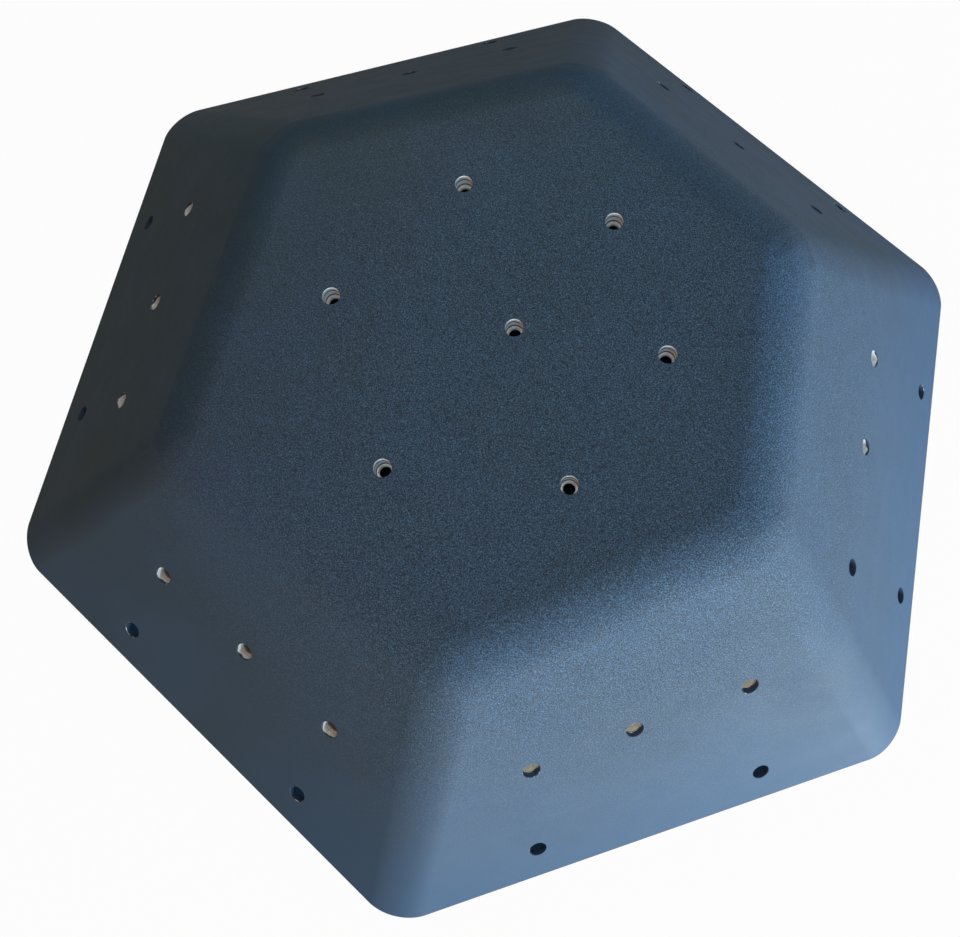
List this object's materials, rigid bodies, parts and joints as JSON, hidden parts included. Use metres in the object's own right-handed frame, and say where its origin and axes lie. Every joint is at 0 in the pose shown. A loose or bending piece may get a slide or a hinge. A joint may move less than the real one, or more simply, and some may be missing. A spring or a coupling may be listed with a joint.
{
  "type": "climbing volume",
  "caption": "Low hexagonal climbing-wall volume with rounded edges and a tilted flat top: a hollow moulded skin, drilled for holds, with T-nuts in plywood pads behind it.",
  "frame": {"origin": "middle of the hexagonal rim, on the plane of its flat back face", "axes": "+Z out of the wall; +X square to one side of the rim, the side of flank f; the top rises towards the rim corner 30 degrees from +X to +Y"},
  "size_m": [0.7274, 0.8272, 0.193],
  "materials": {
    "moulding": "glass-fibre reinforced plastic in dark navy with a fine sandy coat",
    "plywood": "raw birch plywood",
    "zinc": "bright zinc-plated steel"
  },
  "bodies": {
    "root": {"moulded_shell": "moulding", "backing_pad_top": "plywood", "backing_pad_side_a": "plywood", "backing_pad_side_b": "plywood", "backing_pad_side_c": "plywood", "backing_pad_side_d": "plywood", "backing_pad_side_e": "plywood", "backing_pad_side_f": "plywood", "tnut_top_1": "zinc", "tnut_top_2": "zinc", "tnut_top_3": "zinc", "tnut_top_4": "zinc", "tnut_top_5": "zinc", "tnut_top_6": "zinc", "tnut_top_middle": "zinc", "tnut_side_a_1": "zinc", "tnut_side_a_2": "zinc", "tnut_side_a_3": "zinc", "tnut_side_b_1": "zinc", "tnut_side_b_2": "zinc", "tnut_side_b_3": "zinc", "tnut_side_c_1": "zinc", "tnut_side_c_2": "zinc", "tnut_side_c_3": "zinc", "tnut_side_d_1": "zinc", "tnut_side_d_2": "zinc", "tnut_side_d_3": "zinc", "tnut_side_e_1": "zinc", "tnut_side_e_2": "zinc", "tnut_side_e_3": "zinc", "tnut_side_f_1": "zinc", "tnut_side_f_2": "zinc", "tnut_side_f_3": "zinc"}
  },
  "joints": []
}
